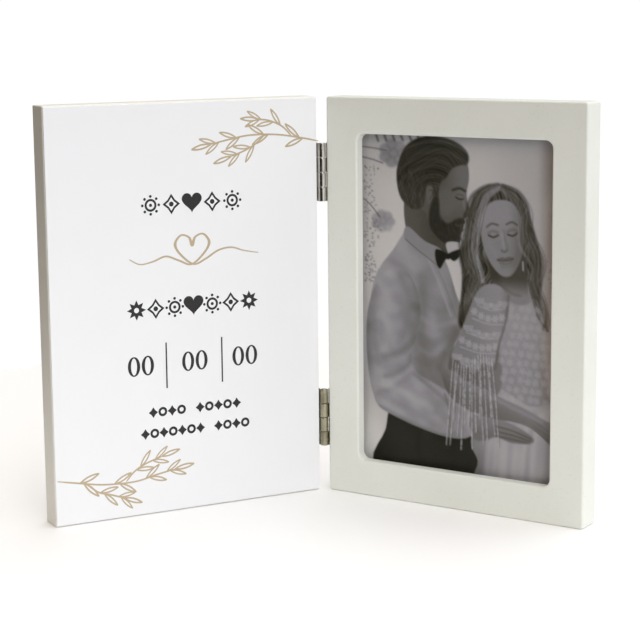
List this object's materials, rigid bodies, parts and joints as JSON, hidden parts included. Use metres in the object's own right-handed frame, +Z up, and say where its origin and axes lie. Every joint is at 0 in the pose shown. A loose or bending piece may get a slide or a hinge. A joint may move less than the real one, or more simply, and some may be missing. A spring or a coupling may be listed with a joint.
{
  "type": "folding double photo frame",
  "caption": "Book-style folding double photo frame: a solid board with a printed white face hinged to a glazed portrait frame, standing open as a V on its bottom edges.",
  "frame": {"origin": "on the surface it stands on, under the middle of the open frame's bounding box", "axes": "+X to the right across both panels, +Y from the open front towards the hinge and back, +Z up"},
  "size_m": [0.2334, 0.0752, 0.178],
  "materials": {
    "ivory_paint": "satin off-white paint on MDF",
    "white_print_sheet": "cool white sheet with a matt printed design",
    "clear_pane": "clear, polished",
    "photo_paper": "semi-matt photographic paper",
    "brown_board": "raw brown fibre board",
    "polished_nickel": "bright nickel plate",
    "warm_nickel": "warm nickel plate",
    "zinc_steel": "zinc plated"
  },
  "bodies": {
    "left_panel": {"left_board": "ivory_paint", "printed_facing": "white_print_sheet", "upper_hinge_left_leaf": "polished_nickel", "upper_hinge_pin": "polished_nickel", "upper_hinge_left_lower_screw": "polished_nickel", "upper_hinge_left_upper_screw": "polished_nickel", "lower_hinge_left_leaf": "warm_nickel", "lower_hinge_pin": "warm_nickel", "lower_hinge_left_lower_screw": "warm_nickel", "lower_hinge_left_upper_screw": "warm_nickel"},
    "right_panel": {"frame_body": "ivory_paint", "glass_pane": "clear_pane", "photo_print": "photo_paper", "backing_board": "brown_board", "upper_hinge_right_leaf": "polished_nickel", "upper_hinge_right_lower_screw": "polished_nickel", "upper_hinge_right_upper_screw": "polished_nickel", "lower_hinge_right_leaf": "warm_nickel", "lower_hinge_right_lower_screw": "warm_nickel", "lower_hinge_right_upper_screw": "warm_nickel", "turn_button_screw_upper_inner": "zinc_steel", "turn_button_screw_upper_outer": "zinc_steel", "turn_button_screw_lower_inner": "zinc_steel", "turn_button_screw_lower_outer": "zinc_steel"},
    "turn_button_upper_inner": {"turn_button_upper_inner": "zinc_steel"},
    "turn_button_upper_outer": {"turn_button_upper_outer": "zinc_steel"},
    "turn_button_lower_inner": {"turn_button_lower_inner": "zinc_steel"},
    "turn_button_lower_outer": {"turn_button_lower_outer": "zinc_steel"}
  },
  "joints": [
    {"name": "book_hinge", "type": "hinge", "parent": "left_panel", "child": "right_panel", "pos_m": [0, 0.0283, 0.089], "axis": [0, 0, 1], "range_deg": [-118, 68]},
    {"name": "turn_upper_inner", "type": "hinge", "parent": "right_panel", "child": "turn_button_upper_inner", "pos_m": [0.01366, 0.03491, 0.134], "axis": [0.515, 0.8572, 0], "range_deg": [-90, 90]},
    {"name": "turn_upper_outer", "type": "hinge", "parent": "right_panel", "child": "turn_button_upper_outer", "pos_m": [0.11189, -0.02411, 0.134], "axis": [0.515, 0.8572, 0], "range_deg": [-90, 90]},
    {"name": "turn_lower_inner", "type": "hinge", "parent": "right_panel", "child": "turn_button_lower_inner", "pos_m": [0.01366, 0.03491, 0.044], "axis": [0.515, 0.8572, 0], "range_deg": [-90, 90]},
    {"name": "turn_lower_outer", "type": "hinge", "parent": "right_panel", "child": "turn_button_lower_outer", "pos_m": [0.11189, -0.02411, 0.044], "axis": [0.515, 0.8572, 0], "range_deg": [-90, 90]}
  ]
}
